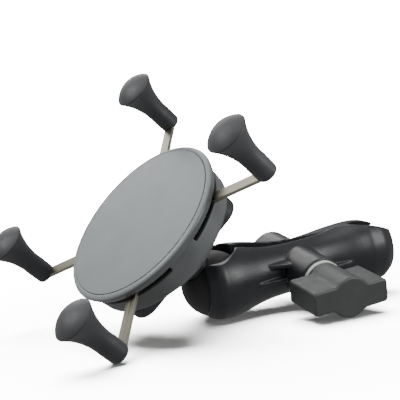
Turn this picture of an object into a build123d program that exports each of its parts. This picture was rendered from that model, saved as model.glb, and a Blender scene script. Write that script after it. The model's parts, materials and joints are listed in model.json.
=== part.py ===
from build123d import *
import math
import os

# A phone holder on a double-socket clamp arm, as it lies on a table.
# Arm frame: X along the arm, Y along the clamp bolt (the knob is on -Y), Z up, origin mid-arm.
# Holder frame: x across the phone, y along the phone, z out of the phone seat, origin at its face.

# ---------------------------------------------------------------- driving dimensions (mm)
CLEAR = 0.3                 # gap between bodies that move past each other
RUNNING = 0.05              # radial clearance of a shaft in its hole

BALL_R = 12.7               # 1 inch mounting ball, over its rubber
BALL_SKIN = 1.8             # rubber thickness on the ball
SOCKET_SPACING = 68.0       # ball centre to ball centre
SOCKET_R = BALL_R + CLEAR   # cup radius in the arm halves
ARM_BULGE_R = 15.2          # arm radius round a socket
ARM_WAIST_R = 10.8          # arm radius at the bolt
NECKING_FRONT = 1.5         # how long the front half's waist stays narrow
NECKING_REAR = 1.0
ARM_TOP_Z = 13.4            # the arm's flattened top and bottom
ARM_END_Z = 10.9            # the same at the end that holds the ball
EMPTY_TOP_FRONT = 12.3      # the same towards the empty end, front half
EMPTY_TIP_FRONT = 7.8       # and at its very tip
EMPTY_TOP_REAR = 10.0
EMPTY_TIP_REAR = 7.0
SHOULDER_X = 25.0           # where the top starts to step down to the end
REAR_LEAN = 3.4             # degrees the rear half closes in at the empty socket
ARM_GAP = 5.0               # space between the two arm halves when clamped
MOUTH_REACH = 7.0           # arm end beyond the ball centre
MOUTH_LIP_R = 12.4          # outer radius of the arm's end
SLOT_HALF = 7.8             # half width of the slots the ball's neck swings in
SLOT_REACH = 9.0            # slot length past the ball centre, towards the bolt

BOLT_R = 3.0                # M6 clamp bolt
BOSS_R = 9.1
FRONT_BOSS_END = 23.7       # distance of the front boss face from the bolt's mid-arm point
REAR_BOSS_END = 17.3
WASHER_R = 8.2
WASHER_T = 1.2
KNOB_HUB_R = 7.8
KNOB_SPAN = 31.0            # tip to tip
KNOB_DEPTH = 18.0           # wing length along the bolt
KNOB_FACE = 44.6            # distance of the knob's flat face from the mid-arm point
WING_H = 9.0
WING_OFFSET = 1.0           # one wing stands this much above the hub's middle, the other below
KNOB_TURNED = -2.0          # degrees, how the wings stand at rest

DISC_R = 34.2               # phone seat disc, widest just behind its face
PLATE_T = 3.8               # front plate, face to parting line
PLATE_BACK_R = 33.1
SHELL_FRONT_R = 32.3        # back shell at the parting line
SHELL_SIDE_R = 31.4         # back shell where the side wall turns into the conical back
SHELL_SIDE_END = 12.6
SHELL_DEPTH = 21.0          # depth of the flat back
SHELL_FLAT_R = 20.0
WALL = 2.2
BALL_DEPTH = 42.8           # ball centre behind the seat face
BASE_T = 5.2
BASE_HOLE_SPACING = 42.0
BASE_LENGTH = 56.5

PAD_R = 31.9
EAR_BOSS_H = 4.6            # bosses on the shell's back that carry the base ears
SHELL_SCREW_R = 27.2
SHELL_SCREW_ANGLES = (0, 90, 180, 270)
SCREW_SEAT = 12.0           # depth of the shell screws' heads
PIVOT_BOSS_R = 6.0
PIVOT_EYE_R = 5.0
PIN_R = 2.5

BAR_W = 4.2
BAR_T = 1.4
BAR_TOP = -4.4              # upper face of the leg bars' outer ends
BAR_DROP = 1.9              # the lower bar passes this much deeper at the pivot
POST_REACH = 56.5           # pivot to post
POST_ANGLE = 43.7           # degrees between a bar and the phone's width at rest
LEG_CLOSED = 64.0           # bar angle with the legs drawn in to the narrowest phone
LEG_OPEN = 18.0             # bar angle at the widest grip
POST_R = 1.6
POST_TOP = 10.0             # height of the steel posts inside the rubber caps
CAP_RIM_R = 8.2
CAP_FOOT_R = 4.0
CAP_RIM_Z = 17.0            # rim height above the seat face
CAP_TOP_Z = 20.8
CAP_FOOT_Z = -5.9

# How the pieces stand to each other at rest: the ball joint holds any angle.
HOLDER_SWING = 41.6         # phone's long axis above the arm's line, turned about the bolt line
HOLDER_LEAN = -0.3          # small sideways turn of the holder on its ball
HOLDER_ROLL = 2.6           # small turn of the holder about the arm's length
ARM_ROLL = 10.60            # arm on the table, turned about its length
ARM_PITCH = -3.89           # arm on the table, knob end lifted

HALF_SPACING = SOCKET_SPACING / 2
MOUTH_X = HALF_SPACING + MOUTH_REACH
SIDES = (-1, 1)


# ---------------------------------------------------------------- helpers
def cylinder_y(radius, y_from, y_to, x=0.0, z=0.0):
    """A cylinder along Y between two Y values."""
    length = abs(y_to - y_from)
    middle = (y_from + y_to) / 2
    return Pos(x, middle, z) * Rot(90, 0, 0) * Cylinder(radius, length)


def cylinder_z(radius, z_from, z_to, x=0.0, y=0.0):
    """A cylinder along Z between two Z values."""
    length = abs(z_to - z_from)
    return Pos(x, y, (z_from + z_to) / 2) * Cylinder(radius, length)


def hex_y(across_flats, y_from, y_to):
    """A hexagonal prism along Y."""
    corner_r = across_flats / math.sqrt(3)
    sketch = Plane.XZ * RegularPolygon(corner_r, 6)
    return Pos(0, max(y_from, y_to), 0) * extrude(sketch, abs(y_to - y_from))


def hex_z(across_flats, z_from, z_to, x=0.0, y=0.0):
    """A hexagonal prism along Z."""
    corner_r = across_flats / math.sqrt(3)
    prism = extrude(RegularPolygon(corner_r, 6), z_to - z_from)
    return Pos(x, y, z_from) * prism


def turned(points, plane):
    """A solid of revolution from (radius, height) points joined by straight lines, about local Y."""
    face = make_face(Polyline(*points, close=True))
    return revolve(plane * face, Axis(plane.origin, plane.y_dir))


# ---------------------------------------------------------------- clamp arm
def arm_outline_radius(x, necking):
    """Radius of the arm's smooth outside at a distance x from the bolt, up to the socket."""
    share = min(abs(x) / HALF_SPACING, 1.0)
    blend = (1 - math.cos(math.pi * share ** necking)) / 2
    return ARM_WAIST_R + (ARM_BULGE_R - ARM_WAIST_R) * blend


def arm_body(necking):
    """The arm as one turned body along X, before it is split."""
    steps = 8
    stations = [HALF_SPACING * i / steps for i in range(steps + 1)]
    edge = [(x, arm_outline_radius(x, necking)) for x in stations]
    right = [Vector(x, r) for x, r in edge]
    left = [Vector(-x, r) for x, r in reversed(edge[1:])]
    top = Spline(*(left + right), tangents=[(1, 0), (1, 0)])
    lip_x = HALF_SPACING + 4.2
    lip_r = ARM_BULGE_R - 1.0
    shoulder = ThreePointArc((HALF_SPACING, ARM_BULGE_R), (HALF_SPACING + 2.7, ARM_BULGE_R - 0.25),
                             (lip_x, lip_r))
    right_end = Polyline((lip_x, lip_r), (MOUTH_X, MOUTH_LIP_R), (MOUTH_X, 0), (0, 0))
    outline = top + shoulder + right_end
    outline += mirror(shoulder, Plane.YZ) + mirror(right_end, Plane.YZ)
    return revolve(make_face(outline), Axis.X)


def arm_side_outline(front):
    """The arm seen along the bolt: flat-topped, and lower at both ends.

    The ball end steps down in a soft shoulder; the empty end rounds down to its tip."""
    tip_x = MOUTH_X + 1
    foot_x = SHOULDER_X + 10
    empty_top = EMPTY_TOP_FRONT if front else EMPTY_TOP_REAR
    empty_tip = EMPTY_TIP_FRONT if front else EMPTY_TIP_REAR
    step = Spline((-SHOULDER_X, ARM_TOP_Z), (-foot_x, ARM_END_Z), tangents=[(-1, 0), (-1, 0)])
    ball_end = Polyline((-foot_x, ARM_END_Z), (-tip_x, ARM_END_Z), (-tip_x, 0), (0, 0), (0, ARM_TOP_Z),
                        (-SHOULDER_X, ARM_TOP_Z))
    waist_top = max(empty_top, ARM_WAIST_R)
    slope = Spline((SHOULDER_X, empty_top), (tip_x, empty_tip), tangents=[(1, 0), (1, -0.5)])
    empty_end = Polyline((tip_x, empty_tip), (tip_x, 0), (0, 0), (0, waist_top), (SHOULDER_X, empty_top))
    blocks = []
    for edges in (step + ball_end, slope + empty_end):
        quarter = make_face(edges)
        for face in (quarter, mirror(quarter, Plane.XZ)):
            blocks.append(extrude(Plane.XZ * face, 40, both=True))
    return blocks[0].fuse(*blocks[1:])


def arm_shell(front):
    """One half of the arm before its boss: cups, mouths, neck slots and hollow middle."""
    sign = -1 if front else 1
    keep = Pos(0, sign * (ARM_GAP / 2 + 30), 0) * Box(2 * MOUTH_X + 2, 60, 60)
    body = arm_body(NECKING_FRONT if front else NECKING_REAR)
    shell = body & arm_side_outline(front) & keep
    slot_round = HALF_SPACING - SLOT_REACH + SLOT_HALF
    slot_len = MOUTH_X + 2 - slot_round
    for side in SIDES:
        shell -= Pos(side * HALF_SPACING, 0, 0) * Sphere(SOCKET_R)
        mouth = Pos(side * (MOUTH_X + 0.5), 0, 0) * Rot(0, side * 90, 0)
        shell -= mouth * Cone(SOCKET_R - 3.6, MOUTH_LIP_R - 1.4, 9, align=(Align.CENTER, Align.CENTER, Align.MAX))
        shell -= cylinder_z(SLOT_HALF, -30, 30, x=side * slot_round)
        shell -= Pos(side * (slot_round + slot_len / 2), 0, 0) * Box(slot_len, 2 * SLOT_HALF, 60)
        shell -= Pos(side * 13.7, sign * 3.0, 0) * Box(8.6, 9.0, 13.0)
    return shell


def arm_ribs(side):
    """Low webs that run from the front boss down into the arm's flank: two on the ball's side."""
    rib_t = 1.5
    inner_y = -9.8
    boss_x = BOSS_R - 1
    boss_y = -13.9
    webs = [(-0.4, 23.0, -12.9)]
    if side < 0:
        webs.append((5.0, 15.5, -10.4))
    ribs = []
    for z, foot_x, foot_y in webs:
        outline = [(0, inner_y), (side * foot_x, inner_y), (side * foot_x, foot_y), (side * boss_x, boss_y),
                   (0, boss_y)]
        face = make_face(Polyline(*outline, close=True))
        ribs.append(Pos(0, 0, z - rib_t / 2) * extrude(face, rib_t))
    return ribs


def arm_half(front):
    """One half of the clamp arm with its bolt boss, bolt hole and spring pocket."""
    sign = -1 if front else 1
    boss_end = FRONT_BOSS_END if front else REAR_BOSS_END
    half = arm_shell(front)
    if front:
        for side in SIDES:
            for rib in arm_ribs(side):
                half += rib
    else:
        half = Pos(-HALF_SPACING, 0, 0) * Rot(0, 0, -REAR_LEAN) * Pos(HALF_SPACING, 0, 0) * half
    half += cylinder_y(BOSS_R, sign * ARM_GAP / 2, sign * boss_end)
    half -= cylinder_y(BOLT_R + RUNNING, 0, sign * 40)
    half -= cylinder_y(5.2, 0, sign * 9.0)
    if not front:
        half -= hex_y(10.0 + 0.2, REAR_BOSS_END - 4.2, REAR_BOSS_END + 1)
    return half


def clamp_bolt():
    """M6 bolt with a hexagon head held in the rear boss, its shank through both halves."""
    shank_end = KNOB_FACE - 4.0
    head = hex_y(10.0, REAR_BOSS_END - 4.2, REAR_BOSS_END - 0.4)
    shank = cylinder_y(BOLT_R, REAR_BOSS_END - 4.2, -shank_end)
    return head + shank


def spread_spring():
    """Compression spring round the bolt that pushes the halves apart."""
    wire_r = 0.55
    coil_r = 4.2
    reach = 8.9 - wire_r
    height = 2 * reach
    helix = Helix(pitch=height / 6, height=height, radius=coil_r)
    start = helix @ 0
    section = Plane(origin=start, z_dir=helix % 0) * Circle(wire_r)
    coil = sweep(section, path=helix, is_frenet=True)
    return Rot(90, 0, 0) * Pos(0, 0, -reach) * coil


def thrust_washer():
    """Bright steel washer between the boss and the knob."""
    face_y = -FRONT_BOSS_END
    washer = cylinder_y(WASHER_R, face_y, face_y - WASHER_T)
    return washer - cylinder_y(BOLT_R + 0.2, face_y + 1, face_y - WASHER_T - 1)


def knob_insert():
    """Threaded brass insert moulded into the knob, modelled with a plain bore."""
    start = FRONT_BOSS_END + WASHER_T
    insert = cylinder_y(5.0, -start, -(start + 14))
    return insert - cylinder_y(BOLT_R + RUNNING, -start + 1, -(start + 15))


def wing_knob():
    """T-shaped knob: a round hub and two blunt wings, one a little above its middle, one below."""
    start = FRONT_BOSS_END + WASHER_T
    knob = cylinder_y(KNOB_HUB_R, -start, -KNOB_FACE)
    for side in SIDES:
        middle = Pos(side * KNOB_SPAN / 4, -(KNOB_FACE - KNOB_DEPTH / 2), -side * WING_OFFSET)
        wing = middle * Box(KNOB_SPAN / 2, KNOB_DEPTH, WING_H)
        tips = [edge for edge in wing.edges().filter_by(Axis.Y) if abs(edge.center().X) > KNOB_SPAN / 4]
        knob += fillet(tips, 1.4)
    valleys = [edge for edge in knob.edges().filter_by(Axis.Y) if abs(edge.center().X) < KNOB_HUB_R - 0.1]
    knob = fillet(valleys, 3.2)
    front_edges = knob.faces().sort_by(Axis.Y)[0].edges()
    knob = chamfer(front_edges, 0.5)
    knob -= cylinder_y(5.0, -start + 1, -(start + 14))
    knob -= cylinder_y(BOLT_R + 0.4, -(start + 13), -(KNOB_FACE - 3.5))
    return Rot(0, KNOB_TURNED, 0) * knob


# ---------------------------------------------------------------- ball and its base
def ball_rubber():
    """Rubber skin of the ball, open where the neck leaves it."""
    skin = Sphere(BALL_R) - Sphere(BALL_R - BALL_SKIN)
    skin -= cylinder_z(6.2, 0, BALL_R + 1)
    return Pos(0, 0, -BALL_DEPTH) * skin


def base_outline():
    """Two-eared plate outline: a round middle with an ear round each screw."""
    ear_r = (BASE_LENGTH - BASE_HOLE_SPACING) / 2
    middle = Circle(11.0)
    ears = [Pos(0, s * BASE_HOLE_SPACING / 2) * Circle(ear_r) for s in SIDES]
    bridge = Rectangle(2 * ear_r, BASE_HOLE_SPACING)
    return middle + ears + bridge


def ball_base():
    """Cast plate, neck and ball core in one piece."""
    back = -SHELL_DEPTH
    plate = Pos(0, 0, back - BASE_T) * extrude(base_outline(), BASE_T)
    plate = fillet(plate.faces().sort_by(Axis.Z)[0].edges(), 1.2)
    core = Pos(0, 0, -BALL_DEPTH) * Sphere(BALL_R - BALL_SKIN - RUNNING)
    neck = turned([(0, back - 1), (9.0, back - 1), (9.0, back - BASE_T), (6.2, back - BASE_T - 2.5),
                   (5.8, back - BASE_T - 5), (5.8, -BALL_DEPTH), (0, -BALL_DEPTH)],
                  Plane(origin=(0, 0, 0), x_dir=(1, 0, 0), z_dir=(0, -1, 0)))
    base = plate + neck + core
    for s in SIDES:
        y = s * BASE_HOLE_SPACING / 2
        base -= cylinder_z(2.1, back - BASE_T - 1, back + 1, y=y)
        base -= hex_z(7.2, back - BASE_T - 1, back - BASE_T + 3.3, y=y)
    return base


def base_screws():
    """Two M4 screws from inside the shell through the base ears."""
    screws = []
    for s in SIDES:
        y = s * BASE_HOLE_SPACING / 2
        floor_z = -SHELL_DEPTH + EAR_BOSS_H
        shank = cylinder_z(2.0, -SHELL_DEPTH - BASE_T + 0.4, floor_z + 0.5, y=y)
        head = cylinder_z(3.5, floor_z, floor_z + 2.0, y=y)
        screws.append(shank + head)
    return screws


def base_nuts():
    """Two M4 nuts sunk in the base ears."""
    nuts = []
    for s in SIDES:
        y = s * BASE_HOLE_SPACING / 2
        nut = hex_z(7.0, -SHELL_DEPTH - BASE_T + 0.6, -SHELL_DEPTH - BASE_T + 3.3, y=y)
        nuts.append(nut - cylinder_z(2.0 + 0.02, -SHELL_DEPTH - BASE_T, -SHELL_DEPTH, y=y))
    return nuts


# ---------------------------------------------------------------- phone seat
def front_plate():
    """Round front plate with a soft outer edge, a recess for the pad and screw pillars."""
    face_r = DISC_R - 1.3
    rim = ThreePointArc((face_r, 0), (DISC_R - 0.35, -0.5), (DISC_R, -1.4))
    side = Polyline((DISC_R, -1.4), (PLATE_BACK_R, -PLATE_T), (0, -PLATE_T), (0, 0), (face_r, 0))
    plate = revolve(Plane.XZ * make_face(rim + side), Axis.Z)
    plate -= cylinder_z(face_r - WALL, -PLATE_T - 1, -2.2)
    plate -= cylinder_z(PAD_R + 0.1, -1.0, 1)
    for angle in SHELL_SCREW_ANGLES:
        spot = Rot(0, 0, angle) * Pos(SHELL_SCREW_R, 0, 0)
        plate += spot * cylinder_z(2.9, -PLATE_T, -2.0)
        plate -= spot * cylinder_z(1.4, -PLATE_T - 1, -1.6)
    return plate


def front_pad():
    """Thin rubber pad that the phone's back rests on."""
    pad = cylinder_z(PAD_R, -1.0, 0.1)
    return fillet(pad.edges().sort_by(Axis.Z)[-1], 0.2)


def leg_window(start, end, low, high):
    """A pie-shaped cutter between two angles and two heights, clear of the shell's middle."""
    arc = CenterArc((0, 0), DISC_R + 6, start, end - start)
    wedge = make_face(Polyline((0, 0), arc @ 0) + arc + Polyline(arc @ 1, (0, 0)))
    window = Pos(0, 0, low) * extrude(wedge, high - low)
    return window - cylinder_z(SHELL_SIDE_R - WALL - 3, low - 1, high + 1)


def back_shell():
    """Deep rear shell: side wall with leg windows, conical back, pivot boss and screw pillars."""
    front = -PLATE_T
    upright = Plane(origin=(0, 0, 0), x_dir=(1, 0, 0), z_dir=(0, -1, 0))
    turn = SHELL_SIDE_END + 1.0
    outer = turned([(0, front), (SHELL_FRONT_R, front), (SHELL_SIDE_R, -SHELL_SIDE_END),
                    (SHELL_SIDE_R - 0.9, -turn), (SHELL_FLAT_R, -SHELL_DEPTH), (0, -SHELL_DEPTH)], upright)
    inner = turned([(0, front + 1), (SHELL_FRONT_R - WALL, front + 1), (SHELL_SIDE_R - WALL, -turn + 1.4),
                    (SHELL_FLAT_R - 1.4, -SHELL_DEPTH + 2.6), (0, -SHELL_DEPTH + 2.6)], upright)
    shell = outer - inner
    ear_r = (BASE_LENGTH - BASE_HOLE_SPACING) / 2
    ear_floor = -SHELL_DEPTH + EAR_BOSS_H
    for s in SIDES:
        shell += cylinder_z(ear_r, -SHELL_DEPTH, ear_floor, y=s * BASE_HOLE_SPACING / 2)
    window_low = BAR_TOP - BAR_T - CLEAR
    low = LEG_OPEN - 6.5
    high = LEG_CLOSED + 6.5
    for start, end in ((low, high), (180 - high, 180 - low), (180 + low, 180 + high), (360 - high, 360 - low)):
        shell -= leg_window(start, end, window_low, front + 1)
    boss_top = BAR_TOP - BAR_T - BAR_DROP - CLEAR
    shell += cylinder_z(PIVOT_BOSS_R, -SHELL_DEPTH + 2.5, boss_top)
    shell -= cylinder_z(PIN_R, -SHELL_DEPTH + 3.5, 0)
    for angle in SHELL_SCREW_ANGLES:
        spot = Rot(0, 0, angle) * Pos(SHELL_SCREW_R, 0, 0)
        shell += (spot * cylinder_z(3.4, -17, front)) & outer
        shell -= spot * cylinder_z(1.6, -20, front + 1)
        shell -= spot * cylinder_z(3.1, -SHELL_DEPTH - 1, -SCREW_SEAT)
    for s in SIDES:
        y = s * BASE_HOLE_SPACING / 2
        shell -= cylinder_z(2.1, -SHELL_DEPTH - 1, 0, y=y)
        shell -= cylinder_z(3.9, ear_floor, ear_floor + 5, y=y)
    return shell


def shell_screws():
    """Self-tapping screws from the back shell into the front plate."""
    screws = []
    for angle in SHELL_SCREW_ANGLES:
        spot = Rot(0, 0, angle) * Pos(SHELL_SCREW_R, 0, 0)
        screw = cylinder_z(1.4, -SCREW_SEAT, -1.8) + cylinder_z(2.8, -SCREW_SEAT - 1.8, -SCREW_SEAT)
        screw -= Pos(0, 0, -SCREW_SEAT - 1.8) * (Box(3.6, 0.8, 1.6) + Box(0.8, 3.6, 1.6))
        screws.append(spot * screw)
    return screws


# ---------------------------------------------------------------- spring-loaded legs
def leg_bar(upper):
    """Flat steel bar from post to post, cranked so that the two bars cross at the pivot."""
    drop = 0.0 if upper else BAR_DROP
    crank_from = 9.0
    crank_to = 12.5
    end = POST_REACH
    top = [(-end, BAR_TOP), (-crank_to, BAR_TOP), (-crank_from, BAR_TOP - drop),
           (crank_from, BAR_TOP - drop), (crank_to, BAR_TOP), (end, BAR_TOP)]
    if upper:
        top = [(-end, BAR_TOP), (end, BAR_TOP)]
    bottom = [(x, z - BAR_T) for x, z in reversed(top)]
    side_face = make_face(Polyline(*(top + bottom), close=True))
    bar = extrude(Plane.XZ * side_face, BAR_W / 2, both=True)
    for s in SIDES:
        bar += cylinder_z(BAR_W / 2, BAR_TOP - BAR_T, BAR_TOP, x=s * end)
    bar += cylinder_z(PIVOT_EYE_R, BAR_TOP - BAR_T - drop, BAR_TOP - drop)
    bar -= cylinder_z(PIN_R + RUNNING, BAR_TOP - BAR_T - drop - 1, BAR_TOP - drop + 1)
    for s in SIDES:
        bar -= cylinder_z(POST_R, BAR_TOP - BAR_T - 1, BAR_TOP + 1, x=s * end)
    return Rot(0, 0, POST_ANGLE if upper else -POST_ANGLE) * bar


def leg_posts(upper):
    """Two steel posts riveted into a bar's ends, inside the rubber caps."""
    angle = POST_ANGLE if upper else -POST_ANGLE
    posts = []
    for s in SIDES:
        stem = cylinder_z(POST_R, BAR_TOP - BAR_T, POST_TOP)
        posts.append(Rot(0, 0, angle) * Pos(s * POST_REACH, 0, 0) * stem)
    return posts


def rubber_cap():
    """Trumpet-shaped rubber cap: rounded foot, concave flare, domed top."""
    foot = CAP_FOOT_Z
    flare_z = foot + 7.0
    base_edge = ThreePointArc((CAP_FOOT_R - 1.6, foot), (CAP_FOOT_R - 0.45, foot + 0.45),
                              (CAP_FOOT_R, foot + 1.6))
    stem = Line((CAP_FOOT_R, foot + 1.6), (CAP_FOOT_R + 0.1, flare_z))
    flare = ThreePointArc((CAP_FOOT_R + 0.1, flare_z), (CAP_RIM_R - 3.0, CAP_RIM_Z - 6.4),
                          (CAP_RIM_R, CAP_RIM_Z))
    rise = CAP_TOP_Z - CAP_RIM_Z
    dome_r = (CAP_RIM_R ** 2 + rise ** 2) / (2 * rise)
    shoulder_z = CAP_TOP_Z - dome_r + math.sqrt(dome_r ** 2 - (CAP_RIM_R / 2) ** 2)
    dome = ThreePointArc((CAP_RIM_R, CAP_RIM_Z), (CAP_RIM_R / 2, shoulder_z), (0, CAP_TOP_Z))
    middle = Polyline((0, CAP_TOP_Z), (0, foot), (CAP_FOOT_R - 1.6, foot))
    cap = revolve(Plane.XZ * make_face(middle + base_edge + stem + flare + dome), Axis.Z)
    bar_end = cylinder_z(BAR_W / 2, BAR_TOP - BAR_T, BAR_TOP)
    bar_end += Pos(-10, 0, BAR_TOP - BAR_T / 2) * Box(20, BAR_W, BAR_T)
    return cap - bar_end - cylinder_z(POST_R, BAR_TOP - BAR_T, POST_TOP)


def pivot_pin():
    """Headed steel pin that both bars turn on."""
    pin = cylinder_z(PIN_R, -SHELL_DEPTH + 3.5, BAR_TOP + 0.2)
    return pin + cylinder_z(4.2, BAR_TOP + 0.15, BAR_TOP + 1.1)


def torsion_spring():
    """Coil of the spring round the pivot boss that pushes the bars apart."""
    wire_r = 0.6
    coil_r = PIVOT_BOSS_R + wire_r + 0.4
    helix = Helix(pitch=1.5, height=4.5, radius=coil_r)
    section = Plane(origin=helix @ 0, z_dir=helix % 0) * Circle(wire_r)
    coil = sweep(section, path=helix, is_frenet=True)
    return Pos(0, 0, -SHELL_DEPTH + 2.6 + wire_r + 0.3) * coil


# ---------------------------------------------------------------- assembly
def holder_location():
    """Where the holder frame stands in the arm frame."""
    swing = math.radians(HOLDER_SWING)
    ball = Location((-HALF_SPACING, 0, 0))
    stand = Plane(origin=(0, 0, 0), x_dir=(0, -1, 0), z_dir=(-math.sin(swing), 0, math.cos(swing)))
    return ball * Location((0, 0, 0), (HOLDER_ROLL, 0, HOLDER_LEAN)) * stand.location * Location((0, 0, BALL_DEPTH))


def build_nodes():
    """All pieces in the arm frame, by node name."""
    arm = {
        "arm_half_rear": arm_half(front=False),
        "arm_half_front": arm_half(front=True),
        "clamp_bolt": clamp_bolt(),
        "spread_spring": spread_spring(),
        "thrust_washer": thrust_washer(),
        "knob_insert": knob_insert(),
        "wing_knob": wing_knob(),
    }
    holder = {
        "ball_rubber": ball_rubber(),
        "ball_base": ball_base(),
        "base_screws": base_screws(),
        "base_nuts": base_nuts(),
        "front_plate": front_plate(),
        "front_pad": front_pad(),
        "back_shell": back_shell(),
        "shell_screws": shell_screws(),
        "pivot_pin": pivot_pin(),
        "torsion_spring": torsion_spring(),
        "leg_bar_rising": leg_bar(upper=True),
        "leg_bar_falling": leg_bar(upper=False),
        "leg_posts_rising": leg_posts(upper=True),
        "leg_posts_falling": leg_posts(upper=False),
    }
    cap_angles = {"upper_right": POST_ANGLE, "upper_left": 180 - POST_ANGLE,
                  "lower_left": 180 + POST_ANGLE, "lower_right": -POST_ANGLE}
    for name, angle in cap_angles.items():
        holder["rubber_cap_" + name] = Rot(0, 0, angle) * Pos(POST_REACH, 0, 0) * rubber_cap()
    place = holder_location()
    nodes = {name: [shape] for name, shape in arm.items()}
    for name, shape in holder.items():
        pieces = shape if isinstance(shape, list) else [shape]
        nodes[name] = [place * piece for piece in pieces]
    return nodes


def rest_on_table(nodes):
    """Turn the assembly to its resting pose and put the origin at the bottom centre of its box."""
    tilt = Location((0, 0, 0), (ARM_ROLL, ARM_PITCH, 0))
    tilted = {name: [tilt * piece for piece in pieces] for name, pieces in nodes.items()}
    box = Compound(children=[piece for pieces in tilted.values() for piece in pieces]).bounding_box()
    centre = box.center()
    shift = Location((-centre.X, -centre.Y, -box.min.Z))
    return {name: Compound([shift * piece for piece in pieces]) for name, pieces in tilted.items()}


if __name__ == "__main__":
    os.makedirs("parts", exist_ok=True)
    for node_name, node_shape in rest_on_table(build_nodes()).items():
        export_step(node_shape, f"parts/{node_name}.step")
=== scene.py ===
import json
import math

import bpy
from mathutils import Matrix, Vector


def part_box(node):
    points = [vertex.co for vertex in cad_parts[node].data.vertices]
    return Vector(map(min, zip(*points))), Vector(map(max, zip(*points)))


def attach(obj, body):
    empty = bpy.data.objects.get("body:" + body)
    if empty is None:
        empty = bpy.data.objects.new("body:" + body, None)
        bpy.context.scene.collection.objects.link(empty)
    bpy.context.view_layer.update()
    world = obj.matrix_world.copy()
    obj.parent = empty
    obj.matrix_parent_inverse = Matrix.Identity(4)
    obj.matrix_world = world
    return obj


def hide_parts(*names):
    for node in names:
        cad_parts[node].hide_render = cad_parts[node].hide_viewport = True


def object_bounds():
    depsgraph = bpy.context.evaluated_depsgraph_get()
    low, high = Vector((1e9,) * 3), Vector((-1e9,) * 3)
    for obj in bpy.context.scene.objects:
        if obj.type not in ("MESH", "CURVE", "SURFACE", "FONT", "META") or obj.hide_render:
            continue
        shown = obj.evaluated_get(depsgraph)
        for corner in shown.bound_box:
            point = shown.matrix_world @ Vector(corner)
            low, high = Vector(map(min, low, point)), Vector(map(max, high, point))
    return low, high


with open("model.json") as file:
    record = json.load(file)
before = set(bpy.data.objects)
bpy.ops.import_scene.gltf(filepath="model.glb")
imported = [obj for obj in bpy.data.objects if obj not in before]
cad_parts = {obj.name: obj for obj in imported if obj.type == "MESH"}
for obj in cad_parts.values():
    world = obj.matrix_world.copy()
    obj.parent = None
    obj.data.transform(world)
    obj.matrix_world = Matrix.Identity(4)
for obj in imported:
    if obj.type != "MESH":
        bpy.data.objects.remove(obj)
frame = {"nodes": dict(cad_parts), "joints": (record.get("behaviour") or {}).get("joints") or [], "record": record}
cad_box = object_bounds()
record = frame["record"]
nodes = frame["nodes"]

# ---------------------------------------------------------------- directions taken from the frame
JOINTS = {joint["name"]: joint for joint in frame["joints"]}
MOUNTS = {mount["name"]: mount for mount in record["mounts"]}
BOLT_POINT = Vector(JOINTS["knob_turn"]["pos_m"])
BOLT_AXIS = -Vector(JOINTS["knob_turn"]["axis"])             # from the knob to the rear half
ARM_AXIS = Vector(MOUNTS["handlebar_ball_socket"]["axis"])   # from the phone to the open socket
ARM_UP = ARM_AXIS.cross(BOLT_AXIS)
SEAT_AXIS = Vector(MOUNTS["phone_seat"]["axis"])


def from_arm(along, across, up):
    """A direction or offset given along the arm, along the bolt and up from the arm."""
    return ARM_AXIS * along + BOLT_AXIS * across + ARM_UP * up


# ---------------------------------------------------------------- materials
EDGE_STARTS = 0.56     # pointedness at which an edge begins to be painted lighter, part rubbed wear and part painted highlight
EDGE_FULL = 0.66


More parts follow.
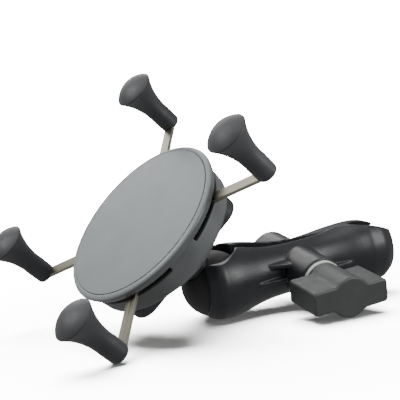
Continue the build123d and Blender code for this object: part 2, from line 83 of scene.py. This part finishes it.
class Shader:
    """A Principled material with short calls for the procedural nodes it is built from."""

    def __init__(self, name, color, roughness, metallic=0.0, specular=0.5):
        self.material = bpy.data.materials.new(name)
        self.material.use_nodes = True
        self.tree = self.material.node_tree
        self.shader = self.tree.nodes["Principled BSDF"]
        self.shader.inputs["Base Color"].default_value = (*color, 1.0)
        self.shader.inputs["Roughness"].default_value = roughness
        self.shader.inputs["Metallic"].default_value = metallic
        self.shader.inputs["Specular IOR Level"].default_value = specular
        self.color = color
        self.place = self.tree.nodes.new("ShaderNodeTexCoord").outputs["Object"]

    def link(self, source, target):
        self.tree.links.new(source, target)

    def noise(self, scale, detail=3.0, place=None, rough=0.55):
        node = self.tree.nodes.new("ShaderNodeTexNoise")
        node.inputs["Scale"].default_value = scale
        node.inputs["Detail"].default_value = detail
        node.inputs["Roughness"].default_value = rough
        self.link(place or self.place, node.inputs["Vector"])
        return node.outputs["Fac"]

    def remap(self, value, low, high, to_low=0.0, to_high=1.0):
        node = self.tree.nodes.new("ShaderNodeMapRange")
        for name, number in (("From Min", low), ("From Max", high), ("To Min", to_low), ("To Max", to_high)):
            node.inputs[name].default_value = number
        self.link(value, node.inputs["Value"])
        return node.outputs["Result"]

    def dot(self, vector, direction):
        node = self.tree.nodes.new("ShaderNodeVectorMath")
        node.operation = "DOT_PRODUCT"
        self.link(vector, node.inputs[0])
        node.inputs[1].default_value = direction
        return node.outputs["Value"]

    def math(self, operation, a, b):
        node = self.tree.nodes.new("ShaderNodeMath")
        node.operation = operation
        for socket, value in ((node.inputs[0], a), (node.inputs[1], b)):
            if isinstance(value, (int, float)):
                socket.default_value = value
            else:
                self.link(value, socket)
        return node.outputs["Value"]

    def mix(self, factor, color_a, color_b):
        node = self.tree.nodes.new("ShaderNodeMix")
        node.data_type = "RGBA"
        self.link(factor, node.inputs["Factor"])
        for socket, color in ((node.inputs["A"], color_a), (node.inputs["B"], color_b)):
            if isinstance(color, tuple):
                socket.default_value = (*color, 1.0)
            else:
                self.link(color, socket)
        return node.outputs["Result"]

    def mottle(self, scale, amount):
        """Slow colour variation round the base colour; returns the colour."""
        dark = tuple(c * (1 - amount) for c in self.color)
        light = tuple(c * (1 + amount) for c in self.color)
        color = self.mix(self.remap(self.noise(scale), 0.3, 0.7), dark, light)
        self.link(color, self.shader.inputs["Base Color"])
        return color

    def rough(self, scale, low, high):
        """Roughness that wanders between two values."""
        self.link(self.remap(self.noise(scale, 4.0), 0.3, 0.7, low, high), self.shader.inputs["Roughness"])

    def bump(self, height, strength, distance):
        node = self.tree.nodes.new("ShaderNodeBump")
        node.inputs["Strength"].default_value = strength
        node.inputs["Distance"].default_value = distance
        self.link(height, node.inputs["Height"])
        previous = self.shader.inputs["Normal"]
        if previous.is_linked:
            self.link(previous.links[0].from_socket, node.inputs["Normal"])
        self.link(node.outputs["Normal"], previous)

    def rubbed_and_lit_edges(self, color, wear_and_highlight_color):
        """Convex edges painted lighter from the mesh's own pointedness: partly rubbed wear, partly a painted
        highlight where edges catch the light.
        """
        pointed = self.tree.nodes.new("ShaderNodeNewGeometry").outputs["Pointiness"]
        rubbed_and_lit_mask = self.remap(pointed, EDGE_STARTS, EDGE_FULL)
        self.link(self.mix(rubbed_and_lit_mask, color, wear_and_highlight_color), self.shader.inputs["Base Color"])


def coated_metal(name, color, grain, roughness):
    """Black powder-coated casting: fine orange peel under a satin gloss."""
    made = Shader(name, color, roughness, specular=0.5)
    tone = made.mottle(90.0, 0.16)
    # edges painted lighter: part rubbed wear, part painted highlight
    made.rubbed_and_lit_edges(tone, tuple(c * 2.2 for c in color))
    made.rough(260.0, roughness - 0.05, roughness + 0.06)
    made.bump(made.noise(1500.0, 3.0), grain, 0.00005)
    made.bump(made.noise(240.0, 2.0), 0.10, 0.0002)
    return made.material


def moulded_plastic(name, color, roughness, grain):
    """Spark-textured moulded plastic: dense fine grain and edges painted lighter, partly rubbed and partly a
    painted highlight.
    """
    made = Shader(name, color, roughness)
    tone = made.mottle(70.0, 0.14)
    # edges painted lighter: part rubbed wear, part painted highlight
    made.rubbed_and_lit_edges(tone, tuple(c * 1.9 for c in color))
    made.rough(420.0, roughness - 0.06, roughness + 0.07)
    made.bump(made.noise(2300.0, 3.0, rough=0.7), grain, 0.00006)
    return made.material


def matte_rubber(name, color, roughness, grain=0.25):
    """Moulded rubber: soft sheen, dusty mottling and a skin of fine pores."""
    made = Shader(name, color, roughness, specular=0.45)
    made.shader.inputs["Sheen Weight"].default_value = 0.12
    made.shader.inputs["Sheen Roughness"].default_value = 0.6
    made.mottle(130.0, 0.20)
    made.rough(300.0, roughness - 0.07, roughness + 0.05)
    made.bump(made.noise(1900.0, 4.0), grain, 0.00006)
    return made.material


def brushed_steel(name, color, along, roughness):
    """Stainless strip with drawn brush lines along one direction."""
    made = Shader(name, color, roughness, metallic=1.0)
    side = along.cross(SEAT_AXIS).normalized()
    stretched = made.tree.nodes.new("ShaderNodeCombineXYZ")
    for socket, direction, scale in (("X", along, 25.0), ("Y", side, 2600.0), ("Z", SEAT_AXIS, 2600.0)):
        made.link(made.math("MULTIPLY", made.dot(made.place, direction), scale), stretched.inputs[socket])
    lines = made.noise(1.0, 2.0, place=stretched.outputs["Vector"])
    dark = tuple(c * 0.86 for c in color)
    light = tuple(min(c * 1.08, 1.0) for c in color)
    made.link(made.mix(made.remap(lines, 0.3, 0.7), dark, light), made.shader.inputs["Base Color"])
    gloss = made.remap(lines, 0.3, 0.7, roughness - 0.06, roughness + 0.08)
    made.link(gloss, made.shader.inputs["Roughness"])
    made.bump(lines, 0.12, 0.00004)
    return made.material


def plated_steel(name, color, roughness, metallic=1.0):
    """Bright plated small part with faint tool marks and handling haze."""
    made = Shader(name, color, roughness, metallic)
    made.mottle(500.0, 0.08)
    made.rough(900.0, roughness - 0.05, roughness + 0.10)
    made.bump(made.noise(2500.0, 2.0), 0.08, 0.00003)
    return made.material


def seat_face_painted_reflection(name, color, rim_color, roughness):
    """The seat's front with a painted reflection: faces turned to the phone are painted pale grey as if mirroring
    the white surroundings; the rim that turns to the side stays dark.
    """
    made = Shader(name, color, roughness)
    tone = made.mottle(55.0, 0.06)
    normal = made.tree.nodes.new("ShaderNodeNewGeometry").outputs["Normal"]
    local = made.tree.nodes.new("ShaderNodeVectorTransform")
    local.vector_type = "NORMAL"
    local.convert_from = "WORLD"
    local.convert_to = "OBJECT"
    made.link(normal, local.inputs["Vector"])
    # painted reflection: faces turned to the phone take the pale grey, the rim turning to the side keeps the shell
    # grey
    painted_reflection_share = made.remap(made.dot(local.outputs["Vector"], SEAT_AXIS), 0.15, 0.7)
    made.link(made.mix(painted_reflection_share, rim_color, tone), made.shader.inputs["Base Color"])
    made.rough(350.0, roughness - 0.04, roughness + 0.05)
    made.bump(made.noise(2300.0, 3.0), 0.12, 0.00005)
    return made.material


BAR_ENDS = {"rising": ("upper_right", "lower_left"), "falling": ("upper_left", "lower_right")}
CORNERS = ("upper_right", "upper_left", "lower_left", "lower_right")


def bar_direction(bar):
    """From the middle of one rubber cap to the middle of the one on the bar's other end."""
    middles = [sum(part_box("rubber_cap_" + corner), Vector()) / 2 for corner in BAR_ENDS[bar]]
    return (middles[0] - middles[1]).normalized()


ARM_BLACK = (0.017, 0.019, 0.022)
KNOB_BLACK = (0.050, 0.054, 0.054)
SHELL_GREY = (0.108, 0.115, 0.117)
CAP_BLACK = (0.030, 0.032, 0.036)
BALL_BLACK = (0.020, 0.020, 0.022)
BASE_BLACK = (0.024, 0.026, 0.029)
LEG_STEEL = (0.36, 0.35, 0.28)
BRIGHT_ZINC = (0.95, 0.94, 0.92)
PALE_ZINC = (0.97, 0.97, 0.95)
BRASS = (0.72, 0.55, 0.28)
# pale grey painted on the seat's front as a reflection of the white surroundings; the face itself is dark
FACE_REFLECTION_GREY = (0.195, 0.213, 0.217)

arm_paint = coated_metal("arm_paint", ARM_BLACK, 0.22, 0.37)
base_paint = coated_metal("base_paint", BASE_BLACK, 0.30, 0.50)
knob_plastic = moulded_plastic("knob_plastic", KNOB_BLACK, 0.50, 0.30)
shell_plastic = moulded_plastic("shell_plastic", SHELL_GREY, 0.52, 0.55)
# the seat's plate and pad both carry the painted reflection
plate_plastic = seat_face_painted_reflection("plate_plastic", FACE_REFLECTION_GREY, SHELL_GREY, 0.36)
pad_face = seat_face_painted_reflection("pad_face", FACE_REFLECTION_GREY, SHELL_GREY, 0.34)
cap_rubber = matte_rubber("cap_rubber", CAP_BLACK, 0.52)
ball_skin = matte_rubber("ball_skin", BALL_BLACK, 0.66, grain=0.4)
bright_steel = plated_steel("bright_steel", BRIGHT_ZINC, 0.24)
zinc_washer = plated_steel("zinc_washer", PALE_ZINC, 0.50, metallic=0.35)
insert_brass = plated_steel("insert_brass", BRASS, 0.32)

NODE_MATERIALS = {
    "arm_half_rear": arm_paint, "arm_half_front": arm_paint, "clamp_bolt": bright_steel,
    "spread_spring": bright_steel, "thrust_washer": zinc_washer, "knob_insert": insert_brass,
    "wing_knob": knob_plastic, "ball_rubber": ball_skin, "ball_base": base_paint,
    "base_screws": bright_steel, "base_nuts": bright_steel, "front_plate": plate_plastic,
    "front_pad": pad_face, "back_shell": shell_plastic, "shell_screws": bright_steel,
    "pivot_pin": bright_steel, "torsion_spring": bright_steel,
}
for corner in CORNERS:
    NODE_MATERIALS["rubber_cap_" + corner] = cap_rubber
for bar in BAR_ENDS:
    steel = brushed_steel("leg_steel_" + bar, LEG_STEEL, bar_direction(bar), 0.36)
    NODE_MATERIALS["leg_bar_" + bar] = steel
    NODE_MATERIALS["leg_posts_" + bar] = steel

BODY_OF = {name: body for body, names in record["behaviour"]["bodies"].items() for name in names}


def dress(piece, material):
    """One material on every face of a piece."""
    piece.data.materials.clear()
    piece.data.materials.append(material)
    piece.data.polygons.foreach_set("material_index", [0] * len(piece.data.polygons))
    piece.data.update()


for name, node in nodes.items():
    dress(node, NODE_MATERIALS[name])


# ---------------------------------------------------------------- soft-edged skins over the CAD solids
def soften(name, voxel, rounds):
    """A copy of a CAD node remeshed fine and relaxed, so that its edges are cast or moulded round."""
    node = nodes[name]
    piece = bpy.data.objects.new(name + "_skin", node.data.copy())
    bpy.context.scene.collection.objects.link(piece)
    weld = piece.modifiers.new("weld", "WELD")
    weld.merge_threshold = 1e-6
    remesh = piece.modifiers.new("remesh", "REMESH")
    remesh.mode = "VOXEL"
    remesh.voxel_size = voxel
    relax = piece.modifiers.new("relax", "SMOOTH")
    relax.factor = 0.5
    relax.iterations = rounds
    solid = bpy.data.meshes.new_from_object(piece.evaluated_get(bpy.context.evaluated_depsgraph_get()))
    piece.modifiers.clear()
    piece.data = solid
    dress(piece, NODE_MATERIALS[name])
    piece.data.polygons.foreach_set("use_smooth", [True] * len(piece.data.polygons))
    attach(piece, BODY_OF[name])
    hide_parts(name)


MM = 0.001
COARSER = 1.0
SKINS = [     # node, voxel in millimetres, rounds of relaxing
    ("arm_half_front", 0.30, 5),
    ("arm_half_rear", 0.30, 5),
    ("wing_knob", 0.22, 4),
    ("back_shell", 0.34, 2),
    ("front_plate", 0.34, 2),
    ("ball_base", 0.34, 3),
]
SKINS += [("rubber_cap_" + corner, 0.25, 4) for corner in CORNERS]
for name, voxel, rounds in SKINS:
    soften(name, voxel * MM * COARSER, rounds)

# ---------------------------------------------------------------- floor, light and camera
FLOOR_REACH = 30.0
BACKDROP_WHITE = 16.0     # how bright the backdrop is where the camera sees it
ROOM_LIGHT = 0.35         # how bright it is as a light on the object
FLOOR_LIGHT = 270.0       # the sun that lights the floor alone
FLOOR_GLOW = 0.09         # painted glow: the paper emits a little light of its own, standing in for light bounced about in the sweep and lifting the cast shadows
SUN_WIDTH = math.radians(66)
SUN_TILT = math.radians(-25)     # its shadow falls towards the viewer
# painted shade: the paper is darker near the object and paler farther out
PAPER_SHADED_NEAR = (0.150, 0.155, 0.149)
PAPER_FAR = (0.30, 0.30, 0.30)
FADE_STARTS = 0.08        # metres from the origin, where the painted shade round the object begins to fade to paler paper
FADE_ENDS = 0.50
bpy.ops.mesh.primitive_plane_add(size=FLOOR_REACH)
floor = bpy.context.object
floor.name = "floor"
paper = Shader("floor_paper", PAPER_SHADED_NEAR, 0.85, specular=0.1)
distance = paper.tree.nodes.new("ShaderNodeVectorMath")
distance.operation = "LENGTH"
paper.link(paper.place, distance.inputs[0])
# painted shade on the paper, fading with distance from the object
away = paper.remap(distance.outputs["Value"], FADE_STARTS, FADE_ENDS)
paper.link(paper.mix(away, PAPER_SHADED_NEAR, PAPER_FAR), paper.shader.inputs["Base Color"])
# painted glow: the paper emits a little white light of its own
paper.shader.inputs["Emission Color"].default_value = (1.0, 1.0, 1.0, 1.0)
paper.shader.inputs["Emission Strength"].default_value = FLOOR_GLOW
floor.data.materials.append(paper.material)
floor.visible_diffuse = False     # the white paper doesn't light the object from below
floor.visible_glossy = False

floor_only = bpy.data.collections.new("floor_only")
floor_only.objects.link(floor)
overhead_data = bpy.data.lights.new("overhead", "SUN")
overhead_data.energy = FLOOR_LIGHT
overhead_data.angle = SUN_WIDTH
overhead = bpy.data.objects.new("overhead", overhead_data)
overhead.rotation_euler = (SUN_TILT, 0.0, 0.0)
bpy.context.scene.collection.objects.link(overhead)
overhead.light_linking.receiver_collection = floor_only

world = bpy.data.worlds.new("studio")
bpy.context.scene.world = world
world.use_nodes = True
sky = world.node_tree
sky_paint = sky.nodes["Background"]
sky_paint.inputs["Color"].default_value = (1.0, 1.0, 1.0, 1.0)
seen = sky.nodes.new("ShaderNodeLightPath").outputs["Is Camera Ray"]
strength = sky.nodes.new("ShaderNodeMapRange")
strength.inputs["To Min"].default_value = ROOM_LIGHT
strength.inputs["To Max"].default_value = BACKDROP_WHITE
sky.links.new(seen, strength.inputs["Value"])
sky.links.new(strength.outputs["Result"], sky_paint.inputs["Strength"])


def softbox(name, place, target, width, height, power):
    """A rectangular area light aimed at a point."""
    data = bpy.data.lights.new(name, "AREA")
    data.shape = "RECTANGLE"
    data.size = width
    data.size_y = height
    data.energy = power
    lamp = bpy.data.objects.new(name, data)
    bpy.context.scene.collection.objects.link(lamp)
    lamp.location = place
    lamp.rotation_euler = (target - place).to_track_quat("-Z", "Y").to_euler()


middle = (cad_box[0] + cad_box[1]) / 2
ball_end = BOLT_POINT + from_arm(-0.032, -0.013, 0.008)
softbox("key_above", middle + Vector((-0.15, -0.10, 0.75)), middle, 0.7, 0.7, 2.8)
softbox("key_front", ball_end + Vector((0.145, -0.180, 0.093)), ball_end, 0.13, 0.13, 0.37)
softbox("side_left", middle + Vector((-0.60, 0.05, 0.50)), middle, 0.4, 0.4, 4.7)
softbox("back_top", middle + Vector((0.05, 0.65, 0.50)), middle, 0.7, 0.5, 3.0)

CAMERA_FROM_BOLT = (-0.1910, -0.3498, 0.1464)     # along the arm, along the bolt, up
CAMERA_FORWARD = (0.3872, 0.8779, -0.2818)
CAMERA_RIGHT = (0.9013, -0.4248, -0.0847)
LENS_MM = 95.6                                    # on a 36 mm wide sensor

camera_data = bpy.data.cameras.new("camera")
camera_data.lens = LENS_MM
camera_data.sensor_width = 36.0
camera = bpy.data.objects.new("camera", camera_data)
bpy.context.scene.collection.objects.link(camera)
back = -from_arm(*CAMERA_FORWARD).normalized()
right = from_arm(*CAMERA_RIGHT).normalized()
turn = Matrix((right, back.cross(right), back)).transposed()
camera.matrix_world = Matrix.Translation(BOLT_POINT + from_arm(*CAMERA_FROM_BOLT)) @ turn.to_4x4()
bpy.context.scene.camera = camera
